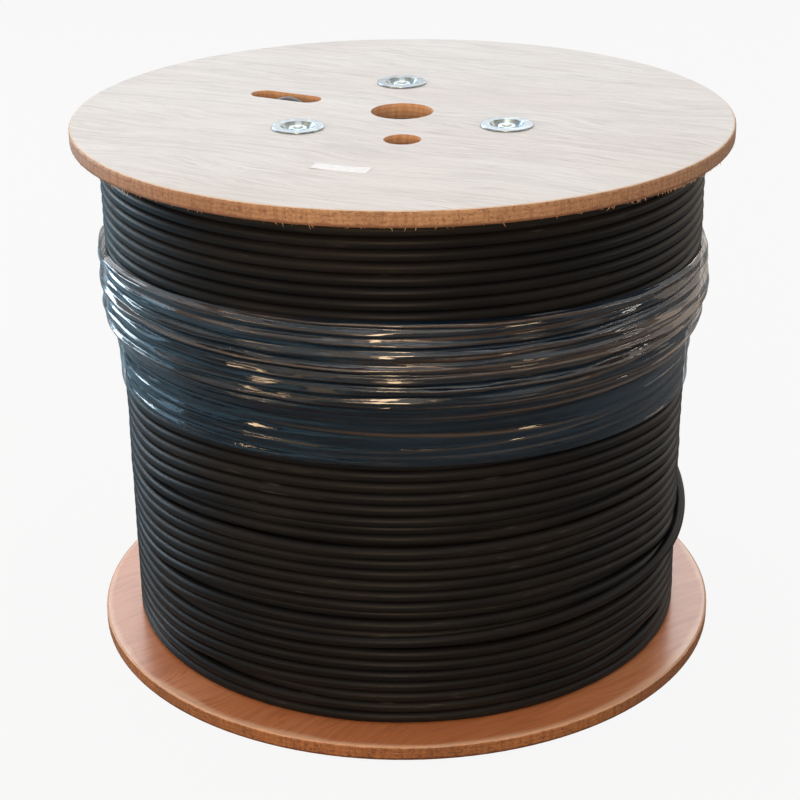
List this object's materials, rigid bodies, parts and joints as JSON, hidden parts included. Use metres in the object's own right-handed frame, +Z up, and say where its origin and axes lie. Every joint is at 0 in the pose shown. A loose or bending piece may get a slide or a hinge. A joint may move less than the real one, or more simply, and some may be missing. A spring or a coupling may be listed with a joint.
{
  "type": "wooden cable drum",
  "caption": "Plywood cable drum on end, wound with black round cable under a band of clear film, with cup-washered tie rods, a spindle bore, a drive hole and a cable slot.",
  "frame": {"origin": "on the drum's axis, in the plane of the lower washer rims that it stands on", "axes": "+Z up along the drum's axis; the drive hole lies towards -Y and the cable slot towards -X and +Y"},
  "size_m": [0.4, 0.4, 0.3344],
  "materials": {
    "plywood": "matte",
    "tube_board": "matte",
    "cable_jacket": "satin",
    "film": "gloss",
    "zinc_steel": "satin",
    "label": "satin"
  },
  "bodies": {
    "root": {"top_flange": "plywood", "bottom_flange": "plywood", "barrel": "tube_board", "cable_winding": "cable_jacket", "cable_tail": "cable_jacket", "film_wrap": "film", "tie_rod_1": "zinc_steel", "tie_rod_2": "zinc_steel", "tie_rod_3": "zinc_steel", "top_washer_1": "zinc_steel", "top_washer_2": "zinc_steel", "top_washer_3": "zinc_steel", "bottom_washer_1": "zinc_steel", "bottom_washer_2": "zinc_steel", "bottom_washer_3": "zinc_steel", "top_nut_1": "zinc_steel", "top_nut_2": "zinc_steel", "top_nut_3": "zinc_steel", "bottom_nut_1": "zinc_steel", "bottom_nut_2": "zinc_steel", "bottom_nut_3": "zinc_steel"}
  },
  "joints": []
}
